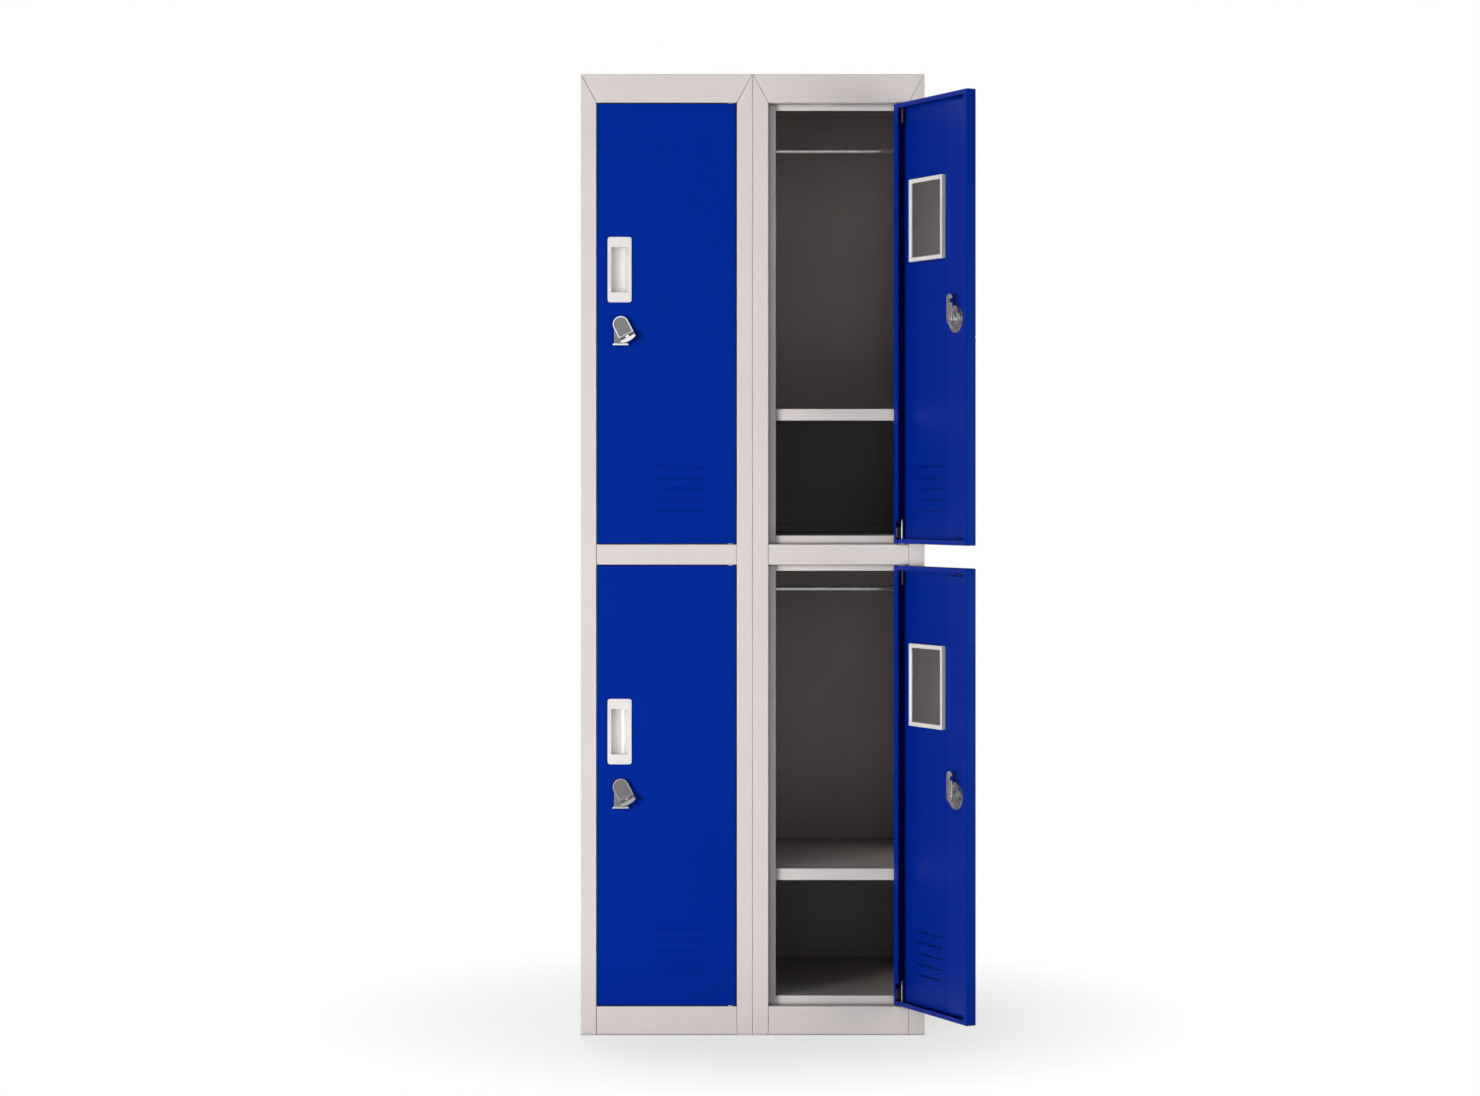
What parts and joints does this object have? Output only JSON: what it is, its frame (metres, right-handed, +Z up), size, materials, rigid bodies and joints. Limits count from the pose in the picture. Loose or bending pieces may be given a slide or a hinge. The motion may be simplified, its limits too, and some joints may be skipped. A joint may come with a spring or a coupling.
{
  "type": "school locker",
  "caption": "Steel school locker of joined, stacked compartments with hinged doors, padlock hasps, recessed handles, door mirrors, shelves and hanging rails.",
  "frame": {"origin": "on the floor at the centre of the carcass footprint, on the joint between the two cabinets", "axes": "+Z up; -Y out of the front, where the doors are; +X to the right as seen from the front"},
  "size_m": [0.7271, 0.7197, 1.8],
  "materials": {
    "carcass_paint": "light warm grey powder coat",
    "door_paint": "deep blue powder coat",
    "white_plastic": "moulded white plastic",
    "mirror": "silvered glass",
    "chrome": "bright plate",
    "bright_steel": "zinc-plated steel"
  },
  "bodies": {
    "carcass": {"left_bay_left_side": "carcass_paint", "left_bay_right_side": "carcass_paint", "left_bay_back": "carcass_paint", "left_bay_top": "carcass_paint", "left_bay_middle_deck": "carcass_paint", "left_bay_base": "carcass_paint", "left_lower_shelf": "carcass_paint", "left_lower_hanging_rail": "chrome", "left_upper_shelf": "carcass_paint", "left_upper_hanging_rail": "chrome", "right_bay_left_side": "carcass_paint", "right_bay_right_side": "carcass_paint", "right_bay_back": "carcass_paint", "right_bay_top": "carcass_paint", "right_bay_middle_deck": "carcass_paint", "right_bay_base": "carcass_paint", "right_lower_shelf": "carcass_paint", "right_lower_hanging_rail": "chrome", "right_upper_shelf": "carcass_paint", "right_upper_hanging_rail": "chrome"},
    "left_lower_door_leaf": {"left_lower_door": "door_paint", "left_lower_top_pin": "bright_steel", "left_lower_handle": "white_plastic", "left_lower_mirror_frame": "white_plastic", "left_lower_mirror_glass": "mirror", "left_lower_lock_base": "chrome", "left_lower_lock_plate": "bright_steel"},
    "left_lower_lock_turn": {"left_lower_lock_lever": "chrome", "left_lower_lock_cam": "bright_steel"},
    "left_lower_hinge_bolt": {"left_lower_bottom_pin": "bright_steel"},
    "left_upper_door_leaf": {"left_upper_door": "door_paint", "left_upper_top_pin": "bright_steel", "left_upper_handle": "white_plastic", "left_upper_mirror_frame": "white_plastic", "left_upper_mirror_glass": "mirror", "left_upper_lock_base": "chrome", "left_upper_lock_plate": "bright_steel"},
    "left_upper_lock_turn": {"left_upper_lock_lever": "chrome", "left_upper_lock_cam": "bright_steel"},
    "left_upper_hinge_bolt": {"left_upper_bottom_pin": "bright_steel"},
    "right_lower_door_leaf": {"right_lower_door": "door_paint", "right_lower_top_pin": "bright_steel", "right_lower_handle": "white_plastic", "right_lower_mirror_frame": "white_plastic", "right_lower_mirror_glass": "mirror", "right_lower_lock_base": "chrome", "right_lower_lock_plate": "bright_steel"},
    "right_lower_lock_turn": {"right_lower_lock_lever": "chrome", "right_lower_lock_cam": "bright_steel"},
    "right_lower_hinge_bolt": {"right_lower_bottom_pin": "bright_steel"},
    "right_upper_door_leaf": {"right_upper_door": "door_paint", "right_upper_top_pin": "bright_steel", "right_upper_handle": "white_plastic", "right_upper_mirror_frame": "white_plastic", "right_upper_mirror_glass": "mirror", "right_upper_lock_base": "chrome", "right_upper_lock_plate": "bright_steel"},
    "right_upper_lock_turn": {"right_upper_lock_lever": "chrome", "right_upper_lock_cam": "bright_steel"},
    "right_upper_hinge_bolt": {"right_upper_bottom_pin": "bright_steel"}
  },
  "joints": [
    {"name": "left_lower_door_hinge", "type": "hinge", "parent": "carcass", "child": "left_lower_door_leaf", "pos_m": [-0.0415, -0.243, 0.054], "axis": [0, 0, 1], "range_deg": [0, 118]},
    {"name": "left_lower_lock_swivel", "type": "hinge", "parent": "left_lower_door_leaf", "child": "left_lower_lock_turn", "pos_m": [-0.2465, -0.25, 0.466], "axis": [0, 1, 0], "range_deg": [-63, 27]},
    {"name": "left_lower_bolt_slide", "type": "slide", "parent": "left_lower_door_leaf", "child": "left_lower_hinge_bolt", "axis": [0, 0, 1], "range_m": [0, 0.007], "stiffness_N_per_m": 200, "springref_m": -0.004},
    {"name": "left_upper_door_hinge", "type": "hinge", "parent": "carcass", "child": "left_upper_door_leaf", "pos_m": [-0.0415, -0.243, 0.919], "axis": [0, 0, 1], "range_deg": [0, 118]},
    {"name": "left_upper_lock_swivel", "type": "hinge", "parent": "left_upper_door_leaf", "child": "left_upper_lock_turn", "pos_m": [-0.2465, -0.25, 1.331], "axis": [0, 1, 0], "range_deg": [-63, 27]},
    {"name": "left_upper_bolt_slide", "type": "slide", "parent": "left_upper_door_leaf", "child": "left_upper_hinge_bolt", "axis": [0, 0, 1], "range_m": [0, 0.007], "stiffness_N_per_m": 200, "springref_m": -0.004},
    {"name": "right_lower_door_hinge", "type": "hinge", "parent": "carcass", "child": "right_lower_door_leaf", "pos_m": [0.2805, -0.243, 0.054], "axis": [0, 0, 1], "range_deg": [-117.5, 0.5]},
    {"name": "right_lower_lock_swivel", "type": "hinge", "parent": "right_lower_door_leaf", "child": "right_lower_lock_turn", "pos_m": [0.38137, -0.42161, 0.466], "axis": [-0.887, -0.4617, 0], "range_deg": [-90, 0]},
    {"name": "right_lower_bolt_slide", "type": "slide", "parent": "right_lower_door_leaf", "child": "right_lower_hinge_bolt", "axis": [0, 0, 1], "range_m": [0, 0.007], "stiffness_N_per_m": 200, "springref_m": -0.004},
    {"name": "right_upper_door_hinge", "type": "hinge", "parent": "carcass", "child": "right_upper_door_leaf", "pos_m": [0.2805, -0.243, 0.919], "axis": [0, 0, 1], "range_deg": [-117.5, 0.5]},
    {"name": "right_upper_lock_swivel", "type": "hinge", "parent": "right_upper_door_leaf", "child": "right_upper_lock_turn", "pos_m": [0.38137, -0.42161, 1.331], "axis": [-0.887, -0.4617, 0], "range_deg": [-90, 0]},
    {"name": "right_upper_bolt_slide", "type": "slide", "parent": "right_upper_door_leaf", "child": "right_upper_hinge_bolt", "axis": [0, 0, 1], "range_m": [0, 0.007], "stiffness_N_per_m": 200, "springref_m": -0.004}
  ]
}
